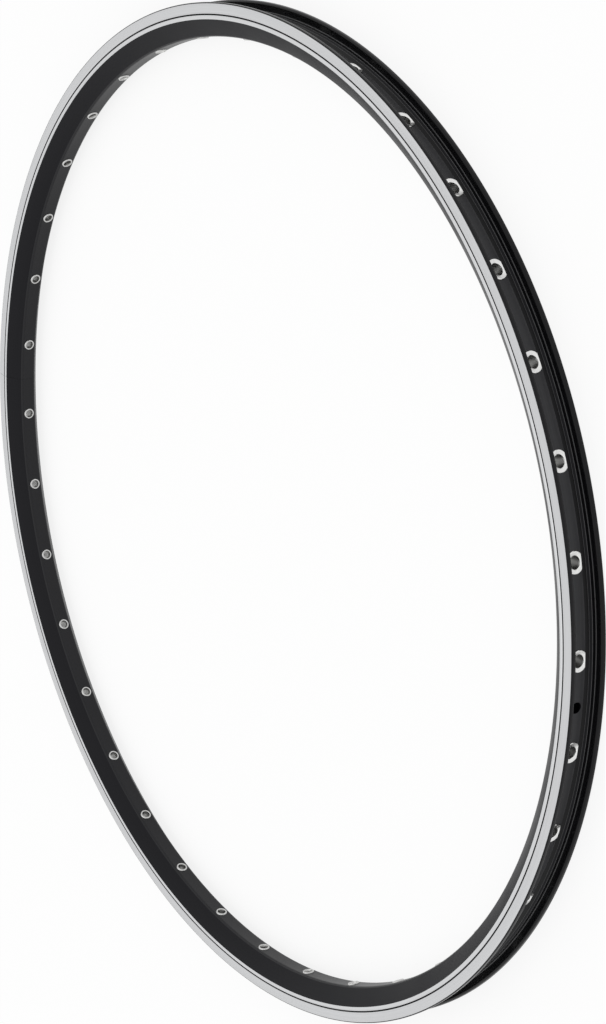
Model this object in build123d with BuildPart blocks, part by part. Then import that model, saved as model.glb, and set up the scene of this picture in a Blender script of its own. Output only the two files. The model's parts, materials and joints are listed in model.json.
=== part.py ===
"""Bicycle rim for 622 mm tyres: a hollow double-wall hoop, its eyelets and sockets, and its joint sleeve.

Millimetres. The rim lies flat, with the wheel's axis on Z and the rim's middle plane at z = 0.
The valve hole is on +X, and the seam where the hoop's ends meet is opposite it, on -X.
The walls that are drilled are crowned about the wheel's centre, so every hole meets them square.
"""

import os
from math import atan2, cos, degrees, sqrt, tan

from build123d import *

# Hoop: the main sizes
bead_seat_diameter = 622.0
flange_height = 6.0
rim_width = 23.5
rim_depth = 21.0
bed_width = 9.6
track_height = 10.2
spoke_count = 36

# Hoop: flange, bead shelves, and the drop well with a ledge on each side of it
hook_width = 3.2
hook_height = 2.0
tip_bevel = 0.8
hook_bevel = 1.2
flange_wall = 2.0
well_depth = 2.7
shelf_gap = 14.6
ledge_drop = 0.5
well_mouth = 10.8
well_floor = 8.4

# Hoop: wear groove in the brake track
groove_from_tip = 7.35
groove_width = 1.0
groove_depth = 0.6

# Hoop: walls around the hollow chamber
bed_wall = 1.5
side_wall = 1.2
track_wall = 1.7
outer_wall = 1.1

# Hoop: seam and valve hole
seam_gap = 0.1
valve_hole_diameter = 6.5

# Spoke eyelets: flange under the spoke bed, shank through it, lip rolled over inside the socket
nipple_bore = 4.6
eyelet_shank = 5.6
eyelet_flange = 7.4
eyelet_rise = 0.8
eyelet_lip = 6.2
eyelet_lip_height = 0.7

# Eyelet sockets: cup through the outer wall, with a flared mouth and a brim trimmed to the well floor
socket_diameter = 7.6
socket_mouth = 7.6
socket_wall = 0.35
socket_floor = 0.6
brim_diameter = 12.6
brim_width = 8.2
brim_thickness = 0.6

# Fits
hole_clearance = 0.05
sleeve_clearance = 0.05
sleeve_end_gap = 1.5

# Radii and half widths that follow from the sizes above
seat_radius = bead_seat_diameter / 2
tip_radius = seat_radius + flange_height
bed_radius = tip_radius - rim_depth
track_low_radius = tip_radius - track_height
groove_radius = tip_radius - groove_from_tip
well_radius = seat_radius - well_depth
chamber_floor_radius = bed_radius + bed_wall
chamber_roof_radius = well_radius - outer_wall
ledge_radius = seat_radius - ledge_drop
shelf_under_radius = seat_radius - outer_wall
ledge_under_radius = ledge_radius - outer_wall
half_width = rim_width / 2
half_bed = bed_width / 2
flange_face = half_width - flange_wall
side_slope = atan2(half_width - half_bed, track_low_radius - bed_radius)
chamber_floor_half = half_bed + bed_wall * tan(side_slope) - side_wall / cos(side_slope)
chamber_top_half = half_width - track_wall
well_slope = atan2((well_mouth - well_floor) / 2, ledge_radius - well_radius)
well_side_shift = outer_wall / cos(well_slope) - outer_wall * tan(well_slope)
chamber_step_half = well_mouth / 2 + well_side_shift
chamber_roof_half = well_floor / 2 + well_side_shift
bore_radius = nipple_bore / 2
shank_radius = eyelet_shank / 2
bed_hole_radius = shank_radius + hole_clearance
socket_radius = socket_diameter / 2
socket_hole_radius = socket_radius + hole_clearance
socket_floor_top = chamber_floor_radius + socket_floor
brim_top = well_radius + brim_thickness
spoke_pitch = 360 / spoke_count
first_spoke = spoke_pitch / 2
seam_centre = spoke_pitch * (spoke_count // 2)


def reach(radius, offset):
    """Distance from the wheel's centre to a crowned wall, along a line at an offset from the centre."""
    return sqrt(radius**2 - offset**2)


def crown(radius, start, end):
    """Three points of a line crowned about the wheel's centre, from one offset to another."""
    middle = (start + end) / 2
    return (reach(radius, start), start), (reach(radius, middle), middle), (reach(radius, end), end)


def draw_hoop():
    """Draw the outline of the hoop's outside, from the spoke bed up each side and down into the well."""
    hook_face = half_width - hook_width
    Polyline(
        (reach(bed_radius, half_bed), half_bed),
        (track_low_radius, half_width),
        (groove_radius - groove_width / 2, half_width),
        (groove_radius, half_width - groove_depth),
        (groove_radius + groove_width / 2, half_width),
        (tip_radius - tip_bevel, half_width),
        (tip_radius, half_width - tip_bevel),
        (tip_radius, hook_face + hook_bevel),
        (tip_radius - hook_bevel, hook_face),
        (tip_radius - hook_height, flange_face),
        (seat_radius, flange_face),
        (seat_radius, shelf_gap / 2),
        (ledge_radius, well_mouth / 2),
        (reach(well_radius, well_floor / 2), well_floor / 2),
    )
    mirror(about=Plane.XZ)
    ThreePointArc(*crown(bed_radius, -half_bed, half_bed))
    ThreePointArc(*crown(well_radius, -well_floor / 2, well_floor / 2))


def draw_chamber(gap=0.0):
    """Draw the outline of the hollow between the two walls, kept clear of them all round by a gap."""
    floor_radius = chamber_floor_radius + gap
    floor_half = chamber_floor_half - gap
    roof_radius = chamber_roof_radius - gap
    roof_half = chamber_roof_half + gap
    Polyline(
        (reach(floor_radius, floor_half), floor_half),
        (shelf_under_radius - gap, chamber_top_half - gap),
        (ledge_under_radius - gap, chamber_step_half + gap),
        (reach(roof_radius, roof_half), roof_half),
    )
    mirror(about=Plane.XZ)
    ThreePointArc(*crown(floor_radius, -floor_half, floor_half))
    ThreePointArc(*crown(roof_radius, -roof_half, roof_half))


def section_plane(angle):
    """Plane through the wheel's axis at an angle round it, with local x outwards and local y along the axis."""
    return Plane.XZ.rotated((0, 0, angle))


# Rim hoop: the section is rolled round the axis from one side of the seam to the other
seam_angle = degrees(seam_gap / bed_radius)
with BuildPart() as rim_hoop:
    with BuildSketch(section_plane(seam_centre + seam_angle / 2)):
        with BuildLine():
            draw_hoop()
        make_face()
        with BuildLine():
            draw_chamber()
        make_face(mode=Mode.SUBTRACT)
    revolve(axis=Axis.Z, revolution_arc=360 - seam_angle)
    with PolarLocations(0, spoke_count, start_angle=first_spoke):
        with Locations(Location((bed_radius + bed_wall / 2, 0, 0), (0, 90, 0))):
            Cylinder(bed_hole_radius, 2 * bed_wall, mode=Mode.SUBTRACT)
        with Locations(Location((well_radius - outer_wall / 2, 0, 0), (0, 90, 0))):
            Cylinder(socket_hole_radius, 2 * outer_wall, mode=Mode.SUBTRACT)
    with Locations(Location((bed_radius + rim_depth / 2, 0, 0), (0, 90, 0))):
        Cylinder(valve_hole_diameter / 2, 2 * rim_depth, mode=Mode.SUBTRACT)
rim_hoop.part.label = "rim_hoop"

# One spoke eyelet, turned about its hole's axis
with BuildPart() as spoke_eyelet:
    with BuildSketch(Plane.XY):
        with BuildLine():
            seat = ThreePointArc(*crown(bed_radius, eyelet_flange / 2, shank_radius))
            Polyline(
                seat @ 1,
                (socket_floor_top, shank_radius),
                (socket_floor_top, eyelet_lip / 2),
                (socket_floor_top + eyelet_lip_height, bore_radius),
                (bed_radius - eyelet_rise, bore_radius),
                seat @ 0,
            )
        make_face()
    revolve(axis=Axis.X)

# Spoke eyelets: one in each spoke hole
with BuildPart() as spoke_eyelets:
    with PolarLocations(0, spoke_count, start_angle=first_spoke):
        add(spoke_eyelet.part)
spoke_eyelets.part.label = "spoke_eyelets"

# One eyelet socket, turned about its hole's axis, its brim cut by two flats
with BuildPart() as eyelet_socket:
    with BuildSketch(Plane.XY):
        with BuildLine():
            foot = ThreePointArc(*crown(chamber_floor_radius, bed_hole_radius, socket_radius))
            brim = ThreePointArc(*crown(well_radius, socket_radius, brim_diameter / 2))
            Line(foot @ 1, brim @ 0)
            Polyline(
                brim @ 1,
                (brim_top, brim_diameter / 2),
                (brim_top, socket_mouth / 2),
                (well_radius, socket_radius - socket_wall),
                (socket_floor_top, socket_radius - socket_wall),
                (socket_floor_top, bed_hole_radius),
                foot @ 0,
            )
        make_face()
    revolve(axis=Axis.X)
    with Locations((well_radius, 0, 0)):
        Box(2 * rim_depth, brim_diameter, brim_width, mode=Mode.INTERSECT)

# Eyelet sockets: one over each spoke eyelet
with BuildPart() as eyelet_sockets:
    with PolarLocations(0, spoke_count, start_angle=first_spoke):
        add(eyelet_socket.part)
eyelet_sockets.part.label = "eyelet_sockets"

# Joint sleeve: fills the chamber across the seam, short of the sockets on both sides
socket_half_angle = degrees(socket_radius / chamber_roof_radius)
sleeve_half_angle = spoke_pitch / 2 - socket_half_angle - degrees(sleeve_end_gap / chamber_roof_radius)
with BuildPart() as joint_sleeve:
    with BuildSketch(section_plane(seam_centre - sleeve_half_angle)):
        with BuildLine():
            draw_chamber(sleeve_clearance)
        make_face()
    revolve(axis=Axis.Z, revolution_arc=2 * sleeve_half_angle)
joint_sleeve.part.label = "joint_sleeve"

os.makedirs("parts", exist_ok=True)
export_step(rim_hoop.part, "parts/rim_hoop.step")
export_step(spoke_eyelets.part, "parts/spoke_eyelets.step")
export_step(eyelet_sockets.part, "parts/eyelet_sockets.step")
export_step(joint_sleeve.part, "parts/joint_sleeve.step")
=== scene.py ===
"""Looks of a bicycle rim: the fine hoop, its eyelets and sockets, their finishes and a plain studio."""

import json
import math

import bmesh
import bpy
from mathutils import Matrix, Vector


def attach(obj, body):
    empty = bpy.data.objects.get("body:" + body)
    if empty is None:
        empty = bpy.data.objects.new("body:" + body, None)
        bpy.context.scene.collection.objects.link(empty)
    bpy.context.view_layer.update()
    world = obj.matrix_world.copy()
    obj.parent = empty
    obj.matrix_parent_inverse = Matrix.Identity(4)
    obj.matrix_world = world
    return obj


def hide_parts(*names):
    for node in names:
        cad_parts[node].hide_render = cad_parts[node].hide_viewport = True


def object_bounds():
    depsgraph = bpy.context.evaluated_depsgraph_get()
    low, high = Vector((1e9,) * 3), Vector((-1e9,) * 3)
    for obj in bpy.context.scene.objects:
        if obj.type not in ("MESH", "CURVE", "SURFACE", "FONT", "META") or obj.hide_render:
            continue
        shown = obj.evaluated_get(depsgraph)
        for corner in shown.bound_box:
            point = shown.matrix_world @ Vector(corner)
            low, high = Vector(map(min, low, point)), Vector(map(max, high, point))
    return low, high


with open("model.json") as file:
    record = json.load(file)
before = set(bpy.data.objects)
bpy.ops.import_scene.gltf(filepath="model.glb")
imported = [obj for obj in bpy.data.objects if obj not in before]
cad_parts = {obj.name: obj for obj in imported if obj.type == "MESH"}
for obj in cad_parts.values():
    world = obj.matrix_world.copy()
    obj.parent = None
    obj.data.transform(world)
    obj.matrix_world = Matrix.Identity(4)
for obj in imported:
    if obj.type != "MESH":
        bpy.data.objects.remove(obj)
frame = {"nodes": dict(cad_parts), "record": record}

bl_info = {
    "name": "Bicycle Rim",
    "version": (1, 0, 0),
    "blender": (4, 5, 0),
    "location": "View3D > Sidebar > Rim",
    "description": "Builds the fine shapes and the finishes of a double-wall bicycle rim",
    "category": "Object",
}

CAD_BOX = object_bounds()
FLOOR_HEIGHT = CAD_BOX[0][2]
SPOKE_HOLES = [mount for mount in frame["record"]["mounts"] if mount["name"].startswith("spoke_hole")]

# Places of the finishes in the hoop's list of materials, and in that of the steel pieces
BED, SIDE, DARK, EDGE, WELL, TRACK, TRACK_FOOT = range(7)
# INSIDE is the steel darkened with painted shade in the bores and cups
BRIGHT, INSIDE = range(2)

# Gloss and roughness of each black finish; the edge's strong gloss is part of its painted highlight, and
# the other glosses also differ to paint light and shade
SHEEN = {BED: (0.25, 0.34), SIDE: (0.10, 0.36), DARK: (0.18, 0.24), EDGE: (0.50, 0.26), WELL: (0.25, 0.42)}

# Roughness of the bare metals
TRACK_ROUGHNESS = 0.30
FOOT_ROUGHNESS = 0.26
SLEEVE_ROUGHNESS = 0.4
STEEL_ROUGHNESS = 0.22
INSIDE_ROUGHNESS = 0.46

# How uneven the finishes are: the darkest shade as a share of the colour, the swing of the roughness,
# and the depth of the relief in metres
BLACK_SHADE, BLACK_SWING, BLACK_RELIEF = 0.8, 0.04, 0.00002
TURNED_SHADE, TURNED_SWING, TURNED_RELIEF = 0.86, 0.1, 0.00003
STEEL_SHADE, STEEL_SWING, STEEL_RELIEF = 0.88, 0.06, 0.00003
RELIEF_STRENGTH = 0.5

# The range that nearly all of a noise's values lie in
NOISE_LOW, NOISE_HIGH = 0.3, 0.7

# How finely round shapes are divided
STEPS_IN_CELL = 8
STEPS_ACROSS = 6
PATCH_RINGS = 3
CORNER_STEPS = 6
HOLE_STEPS = 2 * (STEPS_IN_CELL + STEPS_ACROSS)
EYELET_STEPS = 40
BRIM_STEPS = 12
SHARP_ANGLE = math.radians(38)

# A rounding with a radius up to this, in metres, is one straight bevel
FINE_ROUND = 0.0002

# Roundings and small steps of the hoop's outline, in metres
TRACK_EDGE = 0.00008
HOOK_EDGE = 0.0001
HOOK_FALL = 0.0002
HOOK_FOOT_ROUND = 0.0006
FLANGE_FOOT_ROUND = 0.0005
SHELF_ROUND = 0.0008
LEDGE_ROUND = 0.0004
WELL_ROUND = 0.00012
BED_MARGIN = 0.00002
WELL_MARGIN = 0.0001

# Roundings and small steps of the eyelets' outline, in metres
SHANK_STEP = 0.0005
LIP_EDGE = 0.0002
LIP_TAPER = 0.0002
LIP_ROUND = 0.0004
FUNNEL_DEPTH = 0.0006
FUNNEL_ROUND = 0.0005
ENTRY_ROUND = 0.0003
CREST_INSET = 0.0003
CREST_ROUND = 0.0004
FLANGE_EDGE = 0.0002

# Roundings of the sockets' outline, in metres
CUP_FOOT_ROUND = 0.0003
BRIM_EDGE = 0.0002
CUP_FLOOR_ROUND = 0.0008

# Smallest sine that a length is divided by
TINY = 1e-6

# Height of the camera's picture in millimetres, which the length of its lens goes with
PICTURE_HEIGHT = 36.0


class RimSizes(bpy.types.PropertyGroup):
    """Sizes of the hoop and of what is set in its holes"""

    tip_radius: bpy.props.FloatProperty(
        name="Tip Radius", description="From the wheel's axis to the top of the flanges",
        default=0.3169, unit="LENGTH", precision=5)
    half_width: bpy.props.FloatProperty(
        name="Half Width", description="From the middle plane to a brake track",
        default=0.01175, unit="LENGTH", precision=5)
    seat_radius: bpy.props.FloatProperty(
        name="Seat Radius", description="From the wheel's axis to the shelves that the tyre sits on",
        default=0.311, unit="LENGTH", precision=5)
    well_radius: bpy.props.FloatProperty(
        name="Well Radius", description="From the wheel's axis to the floor of the well",
        default=0.3083, unit="LENGTH", precision=5)
    bed_radius: bpy.props.FloatProperty(
        name="Bed Radius", description="From the wheel's axis to the spoke bed",
        default=0.296, unit="LENGTH", precision=5)
    bed_half: bpy.props.FloatProperty(
        name="Half Bed", description="Half the width of the spoke bed between its corners",
        default=0.0048, unit="LENGTH", precision=5)
    bed_round: bpy.props.FloatProperty(
        name="Bed Rounding", description="Radius of the corners between the spoke bed and the side walls",
        default=0.0020, unit="LENGTH", precision=5)
    bed_wall: bpy.props.FloatProperty(
        name="Bed Wall", description="Thickness of the wall under the spoke bed",
        default=0.0015, unit="LENGTH", precision=5)
    side_wall: bpy.props.FloatProperty(
        name="Side Wall", description="Thickness of the sloped side walls",
        default=0.0012, unit="LENGTH", precision=5)
    track_wall: bpy.props.FloatProperty(
        name="Track Wall", description="Thickness of the walls behind the brake tracks",
        default=0.0017, unit="LENGTH", precision=5)
    outer_wall: bpy.props.FloatProperty(
        name="Outer Wall", description="Thickness of the wall under the well and the shelves",
        default=0.0011, unit="LENGTH", precision=5)
    track_low: bpy.props.FloatProperty(
        name="Track Low Edge", description="From the wheel's axis to the lower edge of a brake track",
        default=0.3068, unit="LENGTH", precision=5)
    track_high: bpy.props.FloatProperty(
        name="Track High Edge",
        description="From the wheel's axis to where the machined metal ends below the tip",
        default=0.3162, unit="LENGTH", precision=5)
    groove_radius: bpy.props.FloatProperty(
        name="Groove Radius", description="From the wheel's axis to the middle of the wear groove",
        default=0.30965, unit="LENGTH", precision=5)
    groove_width: bpy.props.FloatProperty(
        name="Groove Width", description="Width of the wear groove at its mouth",
        default=0.001, unit="LENGTH", precision=5)
    groove_depth: bpy.props.FloatProperty(
        name="Groove Depth", description="Depth of the wear groove",
        default=0.0006, unit="LENGTH", precision=5)
    hook_width: bpy.props.FloatProperty(
        name="Hook Width", description="Thickness of a flange at its hooked tip",
        default=0.0032, unit="LENGTH", precision=5)
    tip_round: bpy.props.FloatProperty(
        name="Tip Rounding", description="Radius of the outer edge of a flange's tip",
        default=0.0007, unit="LENGTH", precision=5)
    hook_round: bpy.props.FloatProperty(
        name="Hook Rounding", description="Radius of the hook's edge at the top of a flange's tip",
        default=0.0014, unit="LENGTH", precision=5)
    hook_nose: bpy.props.FloatProperty(
        name="Hook Nose", description="How far the hook's foremost edge lies below the tip",
        default=0.0015, unit="LENGTH", precision=5)
    hook_height: bpy.props.FloatProperty(
        name="Hook Height", description="How far the hook reaches down from the tip",
        default=0.002, unit="LENGTH", precision=5)
    flange_wall: bpy.props.FloatProperty(
        name="Flange Wall", description="Thickness of a flange between its hook and the shelf",
        default=0.002, unit="LENGTH", precision=5)
    shelf_gap: bpy.props.FloatProperty(
        name="Shelf Gap", description="Half the gap between the shelves that the tyre sits on",
        default=0.0073, unit="LENGTH", precision=5)
    ledge_drop: bpy.props.FloatProperty(
        name="Ledge Drop", description="How far the ledges beside the well fall from the shelves",
        default=0.0009, unit="LENGTH", precision=5)
    well_mouth: bpy.props.FloatProperty(
        name="Well Mouth", description="Half the width of the well at the ledges",
        default=0.0058, unit="LENGTH", precision=5)
    well_floor: bpy.props.FloatProperty(
        name="Well Floor", description="Half the width of the well at its floor",
        default=0.0045, unit="LENGTH", precision=5)
    seam_gap: bpy.props.FloatProperty(
        name="Seam Gap", description="Gap between the two ends of the hoop opposite the valve hole",
        default=0.0001, unit="LENGTH", precision=5)
    valve_hole: bpy.props.FloatProperty(
        name="Valve Hole Radius", description="Radius of the valve hole",
        default=0.00325, unit="LENGTH", precision=5)
    bed_hole: bpy.props.FloatProperty(
        name="Bed Hole Radius", description="Radius of the spoke holes in the spoke bed",
        default=0.00285, unit="LENGTH", precision=5)
    socket_hole: bpy.props.FloatProperty(
        name="Socket Hole Radius", description="Radius of the spoke holes in the well's floor",
        default=0.00385, unit="LENGTH", precision=5)
    eyelet_bore: bpy.props.FloatProperty(
        name="Eyelet Bore Radius", description="Radius of the bore that a spoke nipple goes through",
        default=0.0023, unit="LENGTH", precision=5)
    eyelet_shank: bpy.props.FloatProperty(
        name="Eyelet Shank Radius", description="Radius of an eyelet's tube in the spoke bed",
        default=0.0028, unit="LENGTH", precision=5)
    eyelet_flange: bpy.props.FloatProperty(
        name="Eyelet Flange Radius", description="Radius of an eyelet's rolled flange",
        default=0.0037, unit="LENGTH", precision=5)
    eyelet_entry: bpy.props.FloatProperty(
        name="Eyelet Entry Radius", description="Radius of an eyelet's opening at the crest of its flange",
        default=0.00265, unit="LENGTH", precision=5)
    eyelet_rise: bpy.props.FloatProperty(
        name="Eyelet Rise", description="How far an eyelet's rolled flange stands out of the spoke bed",
        default=0.0008, unit="LENGTH", precision=5)
    eyelet_lip: bpy.props.FloatProperty(
        name="Eyelet Lip Radius", description="Radius of the lip rolled over inside the socket",
        default=0.0031, unit="LENGTH", precision=5)
    eyelet_lip_height: bpy.props.FloatProperty(
        name="Eyelet Lip Height", description="Height of the lip above the socket's floor",
        default=0.0007, unit="LENGTH", precision=5)
    socket_radius: bpy.props.FloatProperty(
        name="Socket Radius", description="Outside radius of a socket's cup",
        default=0.0038, unit="LENGTH", precision=5)
    mouth_radius: bpy.props.FloatProperty(
        name="Mouth Radius", description="Radius of a socket's mouth along the rim",
        default=0.0037, unit="LENGTH", precision=5)
    mouth_oval: bpy.props.FloatProperty(
        name="Mouth Oval", description="Reach of a socket's oval mouth across the rim",
        default=0.0032, unit="LENGTH", precision=5)
    mouth_round: bpy.props.FloatProperty(
        name="Mouth Rounding", description="Radius of the edge round a socket's mouth",
        default=0.0003, unit="LENGTH", precision=5)
    mouth_drop: bpy.props.FloatProperty(
        name="Mouth Drop", description="How far a socket's brim falls from its edge to the mouth",
        default=0.00032, unit="LENGTH", precision=5)
    socket_wall: bpy.props.FloatProperty(
        name="Socket Wall", description="Thickness of a socket's cup",
        default=0.00035, unit="LENGTH", precision=5)
    socket_floor: bpy.props.FloatProperty(
        name="Socket Floor", description="Thickness of a socket's floor",
        default=0.0006, unit="LENGTH", precision=5)
    brim_radius: bpy.props.FloatProperty(
        name="Brim Radius", description="Radius of a socket's brim along the rim",
        default=0.0063, unit="LENGTH", precision=5)
    brim_oval: bpy.props.FloatProperty(
        name="Brim Oval",
        description="Reach of the brim's oval outline across the rim, before its flats are cut",
        default=0.0056, unit="LENGTH", precision=5)
    brim_flat: bpy.props.FloatProperty(
        name="Brim Flat", description="From a socket's middle to the flats of its brim",
        default=0.00415, unit="LENGTH", precision=5)
    brim_thickness: bpy.props.FloatProperty(
        name="Brim Thickness", description="Thickness of a socket's brim",
        default=0.0006, unit="LENGTH", precision=5)


class RimFinishes(bpy.types.PropertyGroup):
    """Colours of the rim's finishes"""

    bed: bpy.props.FloatVectorProperty(
        name="Bed Black", description="Colour of the anodised spoke bed",
        default=(0.010, 0.010, 0.012), subtype="COLOR", size=3, min=0, max=1)
    # Painted shade: the same anodising as the bed, darker where the side walls and ledges catch less light
    side: bpy.props.FloatVectorProperty(
        name="Side Black",
        description="Colour of the anodised side walls and of the ledges beside the well",
        default=(0.008, 0.008, 0.010), subtype="COLOR", size=3, min=0, max=1)
    # Partly real, partly painted shade: these places are really black anodising, and their being darker
    # than the bed is painted shade
    dark: bpy.props.FloatVectorProperty(
        name="Dark Black",
        description="Colour of the anodised flanges, shelves and grooves, and of the well's steep walls",
        default=(0.005, 0.005, 0.006), subtype="COLOR", size=3, min=0, max=1)
    # Painted highlight: the anodising made ten times lighter and glossier on the rounded edges, where they
    # catch the light
    edge: bpy.props.FloatVectorProperty(
        name="Edge Black",
        description="Colour of the painted highlight on the rounded edges of the shelves and ledges",
        default=(0.050, 0.050, 0.053), subtype="COLOR", size=3, min=0, max=1)
    # Painted light: the same anodising as the bed, made lighter where the well's floor is lit
    well: bpy.props.FloatVectorProperty(
        name="Well Black", description="Colour of the anodised well floor",
        default=(0.040, 0.040, 0.043), subtype="COLOR", size=3, min=0, max=1)
    track: bpy.props.FloatVectorProperty(
        name="Brake Track", description="Colour of the machined brake tracks",
        default=(0.635, 0.64, 0.65), subtype="COLOR", size=3, min=0, max=1)
    track_foot: bpy.props.FloatVectorProperty(
        name="Track Foot", description="Colour of the machined band below the wear groove",
        default=(0.67, 0.675, 0.685), subtype="COLOR", size=3, min=0, max=1)
    steel: bpy.props.FloatVectorProperty(
        name="Stainless Steel", description="Colour of the sockets",
        default=(0.86, 0.86, 0.85), subtype="COLOR", size=3, min=0, max=1)
    eyelet_steel: bpy.props.FloatVectorProperty(
        name="Eyelet Steel", description="Colour of the eyelets",
        default=(0.60, 0.60, 0.59), subtype="COLOR", size=3, min=0, max=1)
    # Painted shade: the steel darkened in the bores and cups, where little light reaches
    steel_inside: bpy.props.FloatVectorProperty(
        name="Shaded Inside Steel", description="Colour of the bores and the insides of the sockets",
        default=(0.42, 0.42, 0.41), subtype="COLOR", size=3, min=0, max=1)
    sleeve: bpy.props.FloatVectorProperty(
        name="Plain Aluminium", description="Colour of the sleeve inside the hoop",
        default=(0.60, 0.60, 0.61), subtype="COLOR", size=3, min=0, max=1)


class RimStage(bpy.types.PropertyGroup):
    """Camera, floor and light"""

    camera_place: bpy.props.FloatVectorProperty(
        name="Camera Place", description="Where the camera stands",
        default=(1.232059, 0.600766, 0.832064), subtype="TRANSLATION", unit="LENGTH", size=3)
    camera_aim: bpy.props.FloatVectorProperty(
        name="Camera Aim", description="The point of the rim's middle plane that the camera points at",
        default=(0.044988, 0.067055, 0.0), subtype="TRANSLATION", unit="LENGTH", size=3)
    camera_roll: bpy.props.FloatProperty(
        name="Camera Roll", description="Turn of the camera about its line of sight",
        default=math.radians(101.2627), subtype="ANGLE", unit="ROTATION")
    lens: bpy.props.FloatProperty(
        name="Lens", description="Focal length, in millimetres, for a picture 36 mm high", default=90.61)
    lens_shift: bpy.props.FloatVectorProperty(
        name="Lens Shift", description="How far the picture lies off the line of sight, in picture heights",
        default=(0.001171, -0.072988), size=2)
    floor_size: bpy.props.FloatProperty(
        name="Floor Size", description="Length of the floor's sides", default=24.0, unit="LENGTH")
    floor_colour: bpy.props.FloatVectorProperty(
        name="Floor Colour", description="Colour of the floor",
        default=(0.9, 0.9, 0.9), subtype="COLOR", size=3, min=0, max=1)
    floor_glow: bpy.props.FloatProperty(
        name="Floor Glow", description="Share of plain white in the floor as it is seen",
        default=0.85, subtype="FACTOR", min=0, max=1)
    sky_light: bpy.props.FloatProperty(
        name="Sky Light", description="Strength of the even light from all round", default=0.95)
    key_power: bpy.props.FloatProperty(
        name="Key Light", description="Power of the large soft light overhead",
        default=6.0, unit="POWER")
    key_size: bpy.props.FloatProperty(
        name="Key Light Size", description="Length of the overhead light's sides",
        default=2.5, unit="LENGTH")
    key_height: bpy.props.FloatProperty(
        name="Key Light Height", description="Height of the overhead light",
        default=2.4, unit="LENGTH")


class Draft:
    """Points and faces of a mesh that is being drawn, each face with its place in the list of materials"""

    def __init__(self):
        self.points = []
        self.faces = []
        self.finishes = []

    def point(self, place):
        """Add a point and return its number"""
        self.points.append(tuple(place))
        return len(self.points) - 1

    def row(self, places):
        """Add a row of points and return their numbers"""
        return [self.point(place) for place in places]

    def band(self, row, next_row, finishes, closed=False):
        """Fill the space between two rows of points with faces"""
        count = len(row) if closed else len(row) - 1
        for i in range(count):
            j = (i + 1) % len(row)
            self.faces.append((row[i], row[j], next_row[j], next_row[i]))
            self.finishes.append(finishes[i] if isinstance(finishes, list) else finishes)

    def fill(self, outline, hole):
        """Close the flat ring between an outline and the hole inside it with triangles"""
        sheet = bmesh.new()
        numbers = {}
        for loop in (outline, hole):
            corners = [sheet.verts.new(self.points[i]) for i in loop]
            numbers.update(zip(corners, loop))
            for i, corner in enumerate(corners):
                sheet.edges.new((corner, corners[(i + 1) % len(corners)]))
        bmesh.ops.triangle_fill(sheet, use_beauty=True, edges=sheet.edges[:])
        for face in sheet.faces:
            self.faces.append(tuple(numbers[corner] for corner in face.verts))
            self.finishes.append(SIDE)
        sheet.free()

    def build(self, name, materials):
        """Make the mesh into an object with its normals outward and its edges eased"""
        mesh = bpy.data.meshes.new(name)
        mesh.from_pydata(self.points, [], self.faces)
        for material in materials:
            mesh.materials.append(material)
        mesh.polygons.foreach_set("material_index", self.finishes)
        shell = bmesh.new()
        shell.from_mesh(mesh)
        bmesh.ops.recalc_face_normals(shell, faces=shell.faces[:])
        shell.to_mesh(mesh)
        shell.free()
        mesh.shade_smooth()
        mesh.set_sharp_from_angle(angle=SHARP_ANGLE)
        piece = bpy.data.objects.new(name, mesh)
        bpy.context.collection.objects.link(piece)
        return piece


def reach(radius, offset):
    """Distance from the wheel's centre to a crowned wall, along a line at an offset from the centre"""
    return math.sqrt(radius**2 - offset**2)


def outward(angle):
    """The direction from the wheel's axis at an angle round it"""
    return Vector((math.cos(angle), math.sin(angle), 0))


def onward(angle):
    """The direction along the rim at an angle round the wheel's axis"""
    return Vector((-math.sin(angle), math.cos(angle), 0))


def corner_arc(before, corner, after, radius):
    """Points of the arc that rounds a corner"""
    arriving = (corner - before).normalized()
    leaving = (after - corner).normalized()
    turn = arriving.angle_signed(leaving)
    cut = radius * math.tan(abs(turn) / 2)
    side = Vector((-arriving.y, arriving.x)) * math.copysign(radius, -turn)
    start = corner - arriving * cut
    middle = start + side
    steps = CORNER_STEPS if radius > FINE_ROUND else 1
    arc = []
    for step in range(steps + 1):
        angle = -turn * step / steps
        arc.append(middle + Matrix.Rotation(angle, 2) @ (start - middle))
    return arc


def trace(corners):
    """Points of an outline with rounded corners, and the finish of each stretch between two points.

    A corner is its two coordinates, the radius that rounds it, the finish of the stretch after it, and
    that of its own arc where this differs from the stretch before it.
    """
    points = []
    finishes = []
    finish = None
    for i, (x, y, radius, next_finish, *arc_finish) in enumerate(corners):
        stretch = [Vector((x, y))]
        if radius:
            before = Vector(corners[i - 1][:2])
            after = Vector(corners[(i + 1) % len(corners)][:2])
            stretch = corner_arc(before, stretch[0], after, radius)
        for place in stretch:
            if points:
                finishes.append(finish)
            points.append(place)
            finish = arc_finish[0] if arc_finish else finish
        finish = next_finish
    return points, finishes


def side_slope(size):
    """Slope of the side walls against the wheel's middle plane"""
    return math.atan2(size.half_width - size.bed_half, size.track_low - size.bed_radius)


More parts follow.
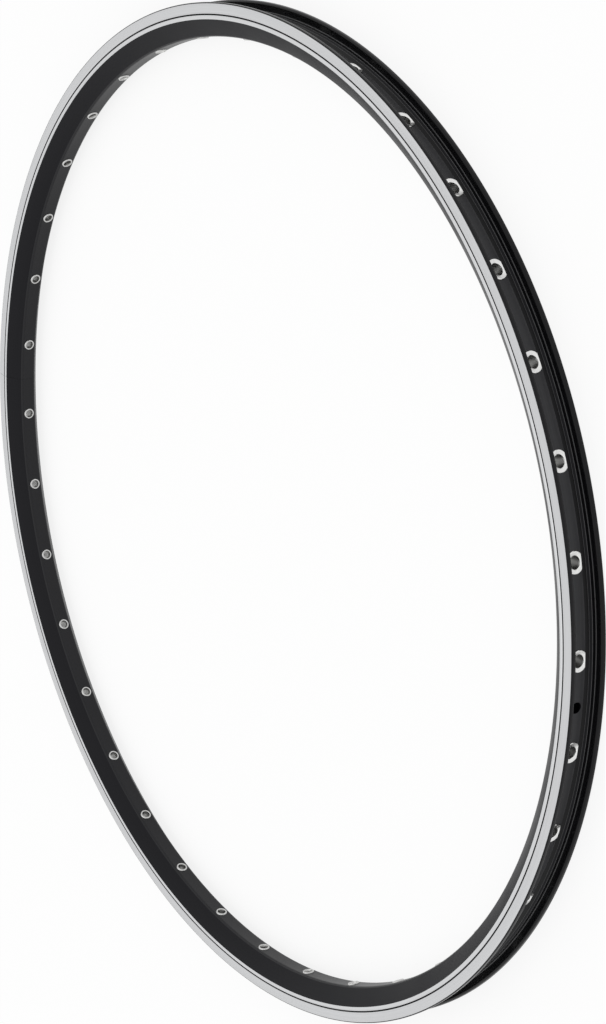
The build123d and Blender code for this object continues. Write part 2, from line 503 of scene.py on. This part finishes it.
def hoop_side(size):
    """Outline of the hoop's outside from the spoke bed to the well's floor, on the side of positive z"""
    flange_face = size.half_width - size.flange_wall
    hook_face = size.half_width - size.hook_width
    hook_foot = size.tip_radius - size.hook_height - HOOK_FALL
    ledge_radius = size.seat_radius - size.ledge_drop
    groove_low = size.groove_radius - size.groove_width / 2
    groove_high = size.groove_radius + size.groove_width / 2
    bed_corner = math.pi / 2 - side_slope(size)
    bed_strip = size.bed_half - size.bed_round * math.tan(bed_corner / 2) - BED_MARGIN
    well_strip = size.well_floor - WELL_MARGIN
    return trace([
        (reach(size.bed_radius, bed_strip), bed_strip, 0, BED),
        # From here the side walls, and further on the ledges, take the side finish: the anodising darkened
        # with painted shade
        (size.bed_radius, size.bed_half, size.bed_round, SIDE),
        (size.track_low, size.half_width, TRACK_EDGE, TRACK_FOOT),
        # The groove, the tip, the flanges, the shelves and the well's steep walls take the dark finish:
        # black anodising darkened with painted shade
        (groove_low, size.half_width, TRACK_EDGE, DARK),
        (size.groove_radius, size.half_width - size.groove_depth, TRACK_EDGE, DARK),
        (groove_high, size.half_width, TRACK_EDGE, TRACK),
        (size.track_high, size.half_width, 0, DARK),
        (size.tip_radius, size.half_width, size.tip_round, DARK),
        (size.tip_radius, hook_face, size.hook_round, DARK),
        (size.tip_radius - size.hook_nose, hook_face, HOOK_EDGE, DARK),
        (hook_foot, flange_face, HOOK_FOOT_ROUND, DARK),
        # The arcs at the flange's foot, the shelf's edge and the well's mouth take the edge finish: the
        # anodising lightened with a painted highlight
        (size.seat_radius, flange_face, FLANGE_FOOT_ROUND, DARK, EDGE),
        (size.seat_radius, size.shelf_gap, SHELF_ROUND, SIDE, EDGE),
        (ledge_radius, size.well_mouth, LEDGE_ROUND, DARK, EDGE),
        # The well's floor takes the well finish: the anodising lightened with painted light
        (size.well_radius, size.well_floor, WELL_ROUND, WELL),
        (reach(size.well_radius, well_strip), well_strip, 0, WELL),
    ])


def chamber_side(size):
    """Outline of the hollow between the hoop's two walls, on the side of positive z"""
    slope = side_slope(size)
    ledge_radius = size.seat_radius - size.ledge_drop
    well_slope = math.atan2(size.well_mouth - size.well_floor, ledge_radius - size.well_radius)
    floor_radius = size.bed_radius + size.bed_wall
    roof_radius = size.well_radius - size.outer_wall
    shelf_radius = size.seat_radius - size.outer_wall
    floor_half = size.bed_half + size.bed_wall * math.tan(slope) - size.side_wall / math.cos(slope)
    well_shift = size.outer_wall / math.cos(well_slope) - size.outer_wall * math.tan(well_slope)
    roof_half = size.well_floor + well_shift
    return trace([
        (reach(floor_radius, floor_half), floor_half, 0, SIDE),
        (shelf_radius, size.half_width - size.track_wall, 0, SIDE),
        (ledge_radius - size.outer_wall, size.well_mouth + well_shift, 0, SIDE),
        (reach(roof_radius, roof_half), roof_half, 0, SIDE),
    ])


class Strip:
    """One of the hoop's drilled walls, laid between the edges of its two sides"""

    def __init__(self, draft, radius, finish, upper_rows, lower_rows, angles):
        self.draft = draft
        self.radius = radius
        self.finish = finish
        self.upper = upper_rows
        self.lower = lower_rows
        self.angles = angles
        self.across = {}

    def place(self, angle, height):
        """A point of the wall at an angle round the axis and a height above the middle plane"""
        return outward(angle) * reach(self.radius, height) + Vector((0, 0, height))

    def crossing(self, i):
        """Numbers of the points across the wall at one step round the hoop"""
        if i not in self.across:
            half = self.draft.points[self.upper[i]][2]
            heights = [half - 2 * half * k / STEPS_ACROSS for k in range(1, STEPS_ACROSS)]
            inner = self.draft.row(self.place(self.angles[i], height) for height in heights)
            self.across[i] = [self.upper[i], *inner, self.lower[i]]
        return self.across[i]

    def plain(self, first, last):
        """Fill the wall between two steps where it has no hole"""
        for i in range(first, last):
            self.draft.band(self.crossing(i), self.crossing(i + 1), self.finish)

    def drilled(self, first, last, hole_radius):
        """Fill the wall round a hole midway between two steps, and return the hole's edge"""
        centre = (self.angles[first] + self.angles[last]) / 2
        near = self.crossing(first)
        far = self.crossing(last)
        border = [self.upper[i] for i in range(first, last)] + far[:-1]
        border += [self.lower[i] for i in range(last, first, -1)] + near[:0:-1]
        steps = [STEPS_IN_CELL / 2 - k for k in range(HOLE_STEPS)]
        turns = [math.radians(90) + math.tau * step / HOLE_STEPS for step in steps]
        rows = [border]
        for ring in range(1, PATCH_RINGS + 1):
            share = ring / PATCH_RINGS
            places = []
            for number, turn in zip(border, turns):
                corner = Vector(self.draft.points[number])
                edge_angle = math.atan2(corner.y, corner.x)
                swing = math.remainder(edge_angle - centre, math.tau) * self.radius
                hole_swing = hole_radius * math.cos(turn)
                hole_height = hole_radius * math.sin(turn)
                angle = centre + ((1 - share) * swing + share * hole_swing) / self.radius
                places.append(self.place(angle, (1 - share) * corner.z + share * hole_height))
            rows.append(self.draft.row(places))
        for outer, inner in zip(rows, rows[1:]):
            self.draft.band(outer, inner, self.finish, closed=True)
        return rows[-1]


def draw_hoop(size):
    """Draw the hoop: both sides, the hollow, the four drilled walls, the holes' walls and the two ends.

    Its length is shared out in cells, and every other cell has a spoke hole in its middle. The seam is
    in the middle of a plain cell, and the valve hole is in the plain cell opposite.
    """
    draft = Draft()
    cells = 2 * len(SPOKE_HOLES)
    steps = cells * STEPS_IN_CELL
    seam = math.pi
    half_gap = size.seam_gap / size.bed_radius / 2
    angles = [seam + math.tau * i / steps for i in range(steps + 1)]
    angles[0] += half_gap
    angles[-1] -= half_gap

    chains = {}
    for name, (outline, finishes) in (("outside", hoop_side(size)), ("chamber", chamber_side(size))):
        for side in (1, -1):
            rows = []
            for angle in angles:
                out = outward(angle)
                rows.append(draft.row(out * spot.x + Vector((0, 0, side * spot.y)) for spot in outline))
            for row, next_row in zip(rows, rows[1:]):
                draft.band(row, next_row, finishes)
            chains[name, side] = rows

    def strip(name, end, radius, finish):
        """One of the drilled walls, between the same end of the two sides' rows"""
        upper = [row[end] for row in chains[name, 1]]
        lower = [row[end] for row in chains[name, -1]]
        return Strip(draft, radius, finish, upper, lower, angles)

    bed = strip("outside", 0, size.bed_radius, BED)
    # The well's floor takes the lighter well finish, which is painted light
    well = strip("outside", -1, size.well_radius, WELL)
    floor = strip("chamber", 0, size.bed_radius + size.bed_wall, SIDE)
    roof = strip("chamber", -1, size.well_radius - size.outer_wall, SIDE)
    half_cell = STEPS_IN_CELL // 2
    for wall in (bed, well, floor, roof):
        wall.plain(0, half_cell)
        wall.plain(steps - half_cell, steps)
    for cell in range(1, cells):
        first = cell * STEPS_IN_CELL - half_cell
        last = first + STEPS_IN_CELL
        valve = cell == cells // 2
        spoke = cell % 2 == 1
        for outer, inner, radius in ((bed, floor, size.bed_hole), (well, roof, size.socket_hole)):
            if valve or spoke:
                hole_radius = size.valve_hole if valve else radius
                mouth = outer.drilled(first, last, hole_radius)
                back = inner.drilled(first, last, hole_radius)
                # Each hole's wall takes the dark finish, darkened with painted shade
                draft.band(mouth, back, DARK, closed=True)
            else:
                outer.plain(first, last)
                inner.plain(first, last)

    for i in (0, steps):
        loops = []
        for name, low, high in (("outside", bed, well), ("chamber", floor, roof)):
            upper = chains[name, 1][i]
            lower = chains[name, -1][i]
            loops.append(upper + high.crossing(i)[1:-1] + lower[::-1] + low.crossing(i)[-2:0:-1])
        draft.fill(*loops)
    return draft


def lathe(draft, outline, angle, turns, limit=None):
    """Turn a closed outline with its finishes about the axis of the hole at an angle round the rim.

    The outline's x runs outwards from the wheel's axis, and its y is the distance from the hole's axis.
    A limit is a function that takes a point of the outline and a turn, and gives the distance instead.
    """
    profile, finishes = outline
    rows = []
    for turn in turns:
        aside = onward(angle) * math.cos(turn) + Vector((0, 0, math.sin(turn)))
        row = []
        for spot in profile:
            distance = limit(spot, turn) if limit else spot.y
            row.append(draft.point(outward(angle) * spot.x + aside * distance))
        rows.append(row)
    for row, next_row in zip(rows, rows[1:] + rows[:1]):
        draft.band(row, next_row, finishes + finishes[-1:], closed=True)


def hole_angle(mount):
    """The angle round the rim of a hole that the record states"""
    return math.atan2(mount["axis"][1], mount["axis"][0])


def draw_in_holes(outline, turns, limit=None):
    """Draw the same turned shape in every spoke hole"""
    draft = Draft()
    for mount in SPOKE_HOLES:
        lathe(draft, outline, hole_angle(mount), turns, limit)
    return draft


def eyelet_profile(size):
    """Profile of a spoke eyelet: flange rolled under the bed, tube, and lip over the socket's floor"""
    floor_top = size.bed_radius + size.bed_wall + size.socket_floor
    crest = size.bed_radius - size.eyelet_rise
    seat = reach(size.bed_radius, size.eyelet_flange)
    return trace([
        (floor_top - SHANK_STEP, size.eyelet_shank, 0, BRIGHT),
        (floor_top, size.eyelet_shank, 0, BRIGHT),
        (floor_top, size.eyelet_lip, LIP_EDGE, BRIGHT),
        (floor_top + size.eyelet_lip_height, size.eyelet_lip - LIP_TAPER, LIP_ROUND, BRIGHT),
        # The bore takes the darkened steel, which is painted shade
        (floor_top + size.eyelet_lip_height, size.eyelet_bore, LIP_ROUND, INSIDE),
        (size.bed_radius + FUNNEL_DEPTH, size.eyelet_bore, FUNNEL_ROUND, BRIGHT),
        (crest, size.eyelet_entry, ENTRY_ROUND, BRIGHT),
        (crest, size.eyelet_flange - CREST_INSET, CREST_ROUND, BRIGHT),
        (seat - FLANGE_EDGE, size.eyelet_flange, FLANGE_EDGE, BRIGHT),
        (seat, size.eyelet_flange, 0, BRIGHT),
        (reach(size.bed_radius, size.eyelet_shank), size.eyelet_shank, 0, BRIGHT),
    ])


def socket_profile(size):
    """Profile of an eyelet socket: cup between the two walls, mouth, and brim on the well's floor"""
    foot = size.bed_radius + size.bed_wall
    floor_top = foot + size.socket_floor
    inside = size.socket_radius - size.socket_wall
    brim_top = size.well_radius + size.brim_thickness
    return trace([
        (floor_top, size.bed_hole, 0, BRIGHT),
        (reach(foot, size.bed_hole), size.bed_hole, 0, BRIGHT),
        (reach(foot, size.socket_radius), size.socket_radius, CUP_FOOT_ROUND, BRIGHT),
        (reach(size.well_radius, size.socket_radius), size.socket_radius, 0, BRIGHT),
        (reach(size.well_radius, size.brim_radius), size.brim_radius, 0, BRIGHT),
        (brim_top, size.brim_radius, BRIM_EDGE, BRIGHT),
        (brim_top - size.mouth_drop, size.mouth_radius, size.mouth_round, BRIGHT),
        (size.well_radius, size.mouth_radius, 0, BRIGHT),
        # The cup's inside takes the darkened steel, which is painted shade
        (size.well_radius - size.brim_thickness, inside, 0, INSIDE),
        (floor_top, inside, CUP_FLOOR_ROUND, INSIDE),
    ])


def oval_reach(along, across, turn):
    """Distance from the middle of an oval to its edge, at a turn from its axis along the rim"""
    return 1 / math.hypot(math.cos(turn) / along, math.sin(turn) / across)


def brim_turns(size):
    """Turns about a socket's axis, closest on the brim's corners so that its flats stay straight"""
    flat_half = size.brim_radius * reach(1, size.brim_flat / size.brim_oval)
    corner = math.atan2(size.brim_flat, flat_half)
    stops = [-corner, corner, math.pi - corner, math.pi + corner, math.tau - corner]
    turns = []
    for start, end in zip(stops, stops[1:]):
        turns += [start + (end - start) * k / BRIM_STEPS for k in range(BRIM_STEPS)]
    return turns


def brim_trim(size):
    """The limit that draws a turned socket's mouth and brim into ovals and cuts the brim's two flats"""
    mouth_edge = size.mouth_radius + size.mouth_round
    mouth_across = mouth_edge * size.mouth_oval / size.mouth_radius

    def trimmed(spot, turn):
        """Distance from the hole's axis of a point of the outline, at a turn from the axis along the rim"""
        mouth = oval_reach(mouth_edge, mouth_across, turn)
        if spot.y > mouth_edge:
            flat = size.brim_flat / max(abs(math.sin(turn)), TINY)
            edge = min(oval_reach(size.brim_radius, size.brim_oval, turn), flat)
            share = (spot.y - mouth_edge) / (size.brim_radius - mouth_edge)
            return mouth + share * (edge - mouth)
        return spot.y * mouth / mouth_edge if spot.x >= size.well_radius else spot.y

    return trimmed


def new_group(name, inputs, outputs):
    """Start a shader node group with number inputs (name, default) and number outputs"""
    group = bpy.data.node_groups.new(name, "ShaderNodeTree")
    for label, default in inputs:
        socket = group.interface.new_socket(name=label, in_out="INPUT", socket_type="NodeSocketFloat")
        socket.default_value = default
    for label in outputs:
        group.interface.new_socket(name=label, in_out="OUTPUT", socket_type="NodeSocketFloat")
    return group, group.nodes.new("NodeGroupInput"), group.nodes.new("NodeGroupOutput")


def math_node(tree, operation, first, second):
    """Add a math node on two links or numbers, and return its output"""
    node = tree.nodes.new("ShaderNodeMath")
    node.operation = operation
    for socket, value in zip(node.inputs, (first, second)):
        if isinstance(value, bpy.types.NodeSocket):
            tree.links.new(value, socket)
        else:
            socket.default_value = value
    return node.outputs["Value"]


def circular_lines_group():
    """Fine lines that run round the wheel's axis, as rolling and turning leave them"""
    group, given, result = new_group(
        "circular_lines", [("Lines per Metre", 4000.0), ("Wander", 6.0)], ["Lines"])
    place = group.nodes.new("ShaderNodeTexCoord")
    parts = group.nodes.new("ShaderNodeSeparateXYZ")
    group.links.new(place.outputs["Object"], parts.inputs["Vector"])
    x, y, z = (parts.outputs[axis] for axis in "XYZ")
    square = math_node(group, "ADD", math_node(group, "MULTIPLY", x, x), math_node(group, "MULTIPLY", y, y))
    radius = math_node(group, "SQRT", square, 0.0)
    turn = math_node(group, "ARCTAN2", y, x)
    grain = group.nodes.new("ShaderNodeCombineXYZ")
    scale = given.outputs["Lines per Metre"]
    group.links.new(math_node(group, "MULTIPLY", radius, scale), grain.inputs["X"])
    group.links.new(math_node(group, "MULTIPLY", z, scale), grain.inputs["Y"])
    group.links.new(math_node(group, "MULTIPLY", turn, given.outputs["Wander"]), grain.inputs["Z"])
    noise = group.nodes.new("ShaderNodeTexNoise")
    noise.inputs["Scale"].default_value = 1.0
    noise.inputs["Detail"].default_value = 3.0
    group.links.new(grain.outputs["Vector"], noise.inputs["Vector"])
    group.links.new(noise.outputs["Fac"], result.inputs["Lines"])
    return group


def soft_marks_group():
    """Faint cloudy marks of handling"""
    group, given, result = new_group("soft_marks", [("Marks per Metre", 40.0)], ["Marks"])
    place = group.nodes.new("ShaderNodeTexCoord")
    noise = group.nodes.new("ShaderNodeTexNoise")
    noise.inputs["Detail"].default_value = 4.0
    group.links.new(place.outputs["Object"], noise.inputs["Vector"])
    group.links.new(given.outputs["Marks per Metre"], noise.inputs["Scale"])
    group.links.new(noise.outputs["Fac"], result.inputs["Marks"])
    return group


def shared_group(name):
    """A node group of this file, built the first time that it is asked for"""
    makers = {"circular_lines": circular_lines_group, "soft_marks": soft_marks_group}
    return bpy.data.node_groups.get(name) or makers[name]()


def add_group(tree, name, values):
    """Place a shared node group in a material with its own values"""
    node = tree.nodes.new("ShaderNodeGroup")
    node.node_tree = shared_group(name)
    for label, value in values.items():
        node.inputs[label].default_value = value
    return node


def span(tree, value, low, high):
    """Stretch a value that varies about one half to run between two limits, and return the output"""
    node = tree.nodes.new("ShaderNodeMapRange")
    node.inputs["From Min"].default_value = NOISE_LOW
    node.inputs["From Max"].default_value = NOISE_HIGH
    node.inputs["To Min"].default_value = low
    node.inputs["To Max"].default_value = high
    tree.links.new(value, node.inputs["Value"])
    return node.outputs["Result"]


def shade_span(tree, value, colour, darker):
    """Let a colour vary with a value, from a darker shade up to the colour itself, and return the output"""
    node = tree.nodes.new("ShaderNodeMix")
    node.data_type = "RGBA"
    node.inputs["A"].default_value = (*(part * darker for part in colour), 1)
    node.inputs["B"].default_value = (*colour, 1)
    tree.links.new(span(tree, value, 0.0, 1.0), node.inputs["Factor"])
    return node.outputs["Result"]


def new_finish(name):
    """Start a material, and return it with its node tree and its shader"""
    material = bpy.data.materials.new(name)
    material.use_nodes = True
    tree = material.node_tree
    return material, tree, tree.nodes["Principled BSDF"]


def add_bump(tree, shader, height, depth):
    """Raise fine relief on a surface"""
    bump = tree.nodes.new("ShaderNodeBump")
    bump.inputs["Strength"].default_value = RELIEF_STRENGTH
    bump.inputs["Distance"].default_value = depth
    tree.links.new(height, bump.inputs["Height"])
    tree.links.new(bump.outputs["Normal"], shader.inputs["Normal"])


def anodised_black(name, colour, gloss, rough):
    """Black anodising over rolled aluminium"""
    material, tree, shader = new_finish(name)
    lines = add_group(tree, "circular_lines", {"Lines per Metre": 2500.0, "Wander": 3.0}).outputs["Lines"]
    marks = add_group(tree, "soft_marks", {"Marks per Metre": 30.0}).outputs["Marks"]
    shader.inputs["Specular IOR Level"].default_value = gloss
    tree.links.new(shade_span(tree, lines, colour, BLACK_SHADE), shader.inputs["Base Color"])
    tree.links.new(span(tree, marks, rough - BLACK_SWING, rough + BLACK_SWING), shader.inputs["Roughness"])
    add_bump(tree, shader, lines, BLACK_RELIEF)
    return material


def turned_aluminium(name, colour, rough):
    """Bright aluminium with the fine lines that a lathe tool leaves"""
    material, tree, shader = new_finish(name)
    lines = add_group(tree, "circular_lines", {"Lines per Metre": 3500.0, "Wander": 1.5}).outputs["Lines"]
    shader.inputs["Metallic"].default_value = 1.0
    shader.inputs["Anisotropic"].default_value = 0.4
    tangent = tree.nodes.new("ShaderNodeTangent")
    tangent.direction_type = "RADIAL"
    tangent.axis = "Z"
    tree.links.new(tangent.outputs["Tangent"], shader.inputs["Tangent"])
    tree.links.new(shade_span(tree, lines, colour, TURNED_SHADE), shader.inputs["Base Color"])
    tree.links.new(span(tree, lines, rough, rough + TURNED_SWING), shader.inputs["Roughness"])
    add_bump(tree, shader, lines, TURNED_RELIEF)
    return material


def stainless_steel(name, colour, rough):
    """Drawn stainless steel, made once for all the pieces that name it, and also the darker copy with
    painted shade for the bores and cups
    """
    existing = bpy.data.materials.get(name)
    if existing:
        return existing
    material, tree, shader = new_finish(name)
    marks = add_group(tree, "soft_marks", {"Marks per Metre": 900.0}).outputs["Marks"]
    shader.inputs["Metallic"].default_value = 1.0
    tree.links.new(shade_span(tree, marks, colour, STEEL_SHADE), shader.inputs["Base Color"])
    tree.links.new(span(tree, marks, rough - STEEL_SWING, rough + STEEL_SWING), shader.inputs["Roughness"])
    add_bump(tree, shader, marks, STEEL_RELIEF)
    return material


def steel_finishes(name, colour, inside_colour):
    """A steel piece's materials in the order of its finishes: bright outside, and inside a darker copy of
    the steel with painted shade
    """
    bright = stainless_steel(name, colour, STEEL_ROUGHNESS)
    inside = stainless_steel("shaded_inside_steel", inside_colour, INSIDE_ROUGHNESS)
    return [bright, inside]


def stand_for(piece, node):
    """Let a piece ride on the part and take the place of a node"""
    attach(piece, "root")
    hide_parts(node)


class RIM_OT_hoop(bpy.types.Operator):
    """Build the hoop with its rounded edges, black anodising and machined brake tracks"""

    bl_idname = "rim.hoop"
    bl_label = "Hoop"

    def execute(self, context):
        colours = context.scene.rim_finishes
        materials = [
            anodised_black("bed_black", colours.bed, *SHEEN[BED]),
            # Side walls and ledges: the anodising darkened with painted shade
            anodised_black("side_black_painted_shade", colours.side, *SHEEN[SIDE]),
            # Groove, tip, flanges, shelves, steep well walls and hole walls: the anodising darkened with
            # painted shade
            anodised_black("dark_black_painted_shade", colours.dark, *SHEEN[DARK]),
            # Rounded edges of the shelves and ledges: the anodising lightened with a painted highlight
            anodised_black("edge_black_painted_highlight", colours.edge, *SHEEN[EDGE]),
            # Well floor: the anodising lightened with painted light
            anodised_black("well_black_painted_light", colours.well, *SHEEN[WELL]),
            turned_aluminium("turned_track", colours.track, TRACK_ROUGHNESS),
            turned_aluminium("turned_track_foot", colours.track_foot, FOOT_ROUGHNESS),
        ]
        hoop = draw_hoop(context.scene.rim_sizes).build("fine_hoop", materials)
        stand_for(hoop, "rim_hoop")
        return {"FINISHED"}


class RIM_OT_eyelets(bpy.types.Operator):
    """Set a rolled eyelet in every spoke hole of the spoke bed"""

    bl_idname = "rim.eyelets"
    bl_label = "Spoke Eyelets"

    def execute(self, context):
        colours = context.scene.rim_finishes
        turns = [math.tau * k / EYELET_STEPS for k in range(EYELET_STEPS)]
        draft = draw_in_holes(eyelet_profile(context.scene.rim_sizes), turns)
        materials = steel_finishes("eyelet_steel", colours.eyelet_steel, colours.steel_inside)
        eyelets = draft.build("fine_eyelets", materials)
        stand_for(eyelets, "spoke_eyelets")
        return {"FINISHED"}


class RIM_OT_sockets(bpy.types.Operator):
    """Set a brimmed socket over every spoke hole in the well's floor"""

    bl_idname = "rim.sockets"
    bl_label = "Eyelet Sockets"

    def execute(self, context):
        size = context.scene.rim_sizes
        colours = context.scene.rim_finishes
        draft = draw_in_holes(socket_profile(size), brim_turns(size), brim_trim(size))
        materials = steel_finishes("socket_steel", colours.steel, colours.steel_inside)
        sockets = draft.build("fine_sockets", materials)
        stand_for(sockets, "eyelet_sockets")
        return {"FINISHED"}


class RIM_OT_sleeve(bpy.types.Operator):
    """Give the sleeve inside the hoop its plain aluminium"""

    bl_idname = "rim.sleeve"
    bl_label = "Joint Sleeve"

    def execute(self, context):
        sleeve = frame["nodes"]["joint_sleeve"]
        material = turned_aluminium("plain_aluminium", context.scene.rim_finishes.sleeve, SLEEVE_ROUGHNESS)
        for slot in sleeve.material_slots:
            slot.material = material
        return {"FINISHED"}


def seen_white(tree):
    """Link that is 1 where a surface is seen by the camera, by a mirror or through glass"""
    path = tree.nodes.new("ShaderNodeLightPath")
    by_eye = math_node(tree, "MAXIMUM", path.outputs["Is Camera Ray"], path.outputs["Is Glossy Ray"])
    return math_node(tree, "MAXIMUM", by_eye, path.outputs["Is Transmission Ray"])


def pale_floor(stage):
    """Pale floor that is seen as white and still takes the rim's shadow"""
    material, tree, shader = new_finish("pale_floor")
    shader.inputs["Base Color"].default_value = (*stage.floor_colour, 1)
    shader.inputs["Roughness"].default_value = 1.0
    shader.inputs["Specular IOR Level"].default_value = 0.0
    glow = tree.nodes.new("ShaderNodeEmission")
    mix = tree.nodes.new("ShaderNodeMixShader")
    tree.links.new(math_node(tree, "MULTIPLY", seen_white(tree), stage.floor_glow), mix.inputs["Fac"])
    tree.links.new(shader.outputs["BSDF"], mix.inputs[1])
    tree.links.new(glow.outputs["Emission"], mix.inputs[2])
    tree.links.new(mix.outputs["Shader"], tree.nodes["Material Output"].inputs["Surface"])
    return material


def add_floor(stage):
    """Lay the floor under the rim"""
    half = stage.floor_size / 2
    mesh = bpy.data.meshes.new("floor")
    corners = [(-half, -half, FLOOR_HEIGHT), (half, -half, FLOOR_HEIGHT),
               (half, half, FLOOR_HEIGHT), (-half, half, FLOOR_HEIGHT)]
    mesh.from_pydata(corners, [], [(0, 1, 2, 3)])
    mesh.materials.append(pale_floor(stage))
    floor = bpy.data.objects.new("floor", mesh)
    bpy.context.collection.objects.link(floor)


def add_sky(stage):
    """Light the rim evenly from all round, with white behind it"""
    world = bpy.data.worlds.new("even_sky")
    bpy.context.scene.world = world
    world.use_nodes = True
    tree = world.node_tree
    sky = tree.nodes["Background"]
    sky.inputs["Color"].default_value = (1, 1, 1, 1)
    extra = math_node(tree, "MULTIPLY", seen_white(tree), 1 - stage.sky_light)
    tree.links.new(math_node(tree, "ADD", extra, stage.sky_light), sky.inputs["Strength"])


def add_key_light(stage):
    """Hang the large soft light overhead"""
    light = bpy.data.lights.new("overhead", "AREA")
    light.energy = stage.key_power
    light.size = stage.key_size
    lamp = bpy.data.objects.new("overhead", light)
    lamp.location = (0, 0, stage.key_height)
    bpy.context.collection.objects.link(lamp)


def add_camera(stage):
    """Stand the camera at the photograph's place, rolled to its upright"""
    forward = (Vector(stage.camera_aim) - Vector(stage.camera_place)).normalized()
    level = forward.cross(Vector((0, 0, 1))).normalized()
    above = level.cross(forward)
    up = above * math.cos(stage.camera_roll) + level * math.sin(stage.camera_roll)
    right = forward.cross(up)
    turn = Matrix((right, up, -forward)).transposed()
    data = bpy.data.cameras.new("camera")
    data.sensor_fit = "VERTICAL"
    data.sensor_height = PICTURE_HEIGHT
    data.lens = stage.lens
    data.shift_x, data.shift_y = stage.lens_shift
    camera = bpy.data.objects.new("camera", data)
    camera.matrix_world = Matrix.Translation(Vector(stage.camera_place)) @ turn.to_4x4()
    bpy.context.collection.objects.link(camera)
    bpy.context.scene.camera = camera


class RIM_OT_stage(bpy.types.Operator):
    """Lay the floor, light the rim and stand the camera"""

    bl_idname = "rim.stage"
    bl_label = "Stage"

    def execute(self, context):
        stage = context.scene.rim_stage
        context.scene.view_settings.view_transform = "Standard"
        add_floor(stage)
        add_sky(stage)
        add_key_light(stage)
        add_camera(stage)
        return {"FINISHED"}


class RIM_PT_panel(bpy.types.Panel):
    """Sidebar panel with the rim's pieces, sizes and colours"""

    bl_label = "Bicycle Rim"
    bl_space_type = "VIEW_3D"
    bl_region_type = "UI"
    bl_category = "Rim"

    def draw(self, context):
        for operator in OPERATORS:
            self.layout.operator(operator.bl_idname)
        for settings in (context.scene.rim_sizes, context.scene.rim_finishes, context.scene.rim_stage):
            box = self.layout.box()
            for name in settings.__annotations__:
                box.prop(settings, name)


SETTINGS = {"rim_sizes": RimSizes, "rim_finishes": RimFinishes, "rim_stage": RimStage}
OPERATORS = (RIM_OT_hoop, RIM_OT_eyelets, RIM_OT_sockets, RIM_OT_sleeve, RIM_OT_stage)
CLASSES = (*SETTINGS.values(), *OPERATORS, RIM_PT_panel)


def register():
    """Register the settings, the operators and the panel"""
    for cls in CLASSES:
        bpy.utils.register_class(cls)
    for name, cls in SETTINGS.items():
        setattr(bpy.types.Scene, name, bpy.props.PointerProperty(type=cls))


def unregister():
    """Take the settings, the operators and the panel out again"""
    for name in SETTINGS:
        delattr(bpy.types.Scene, name)
    for cls in reversed(CLASSES):
        bpy.utils.unregister_class(cls)


def main():
    """Build every piece and the stage"""
    register()
    bpy.ops.rim.hoop()
    bpy.ops.rim.eyelets()
    bpy.ops.rim.sockets()
    bpy.ops.rim.sleeve()
    bpy.ops.rim.stage()


if __name__ == "__main__":
    main()
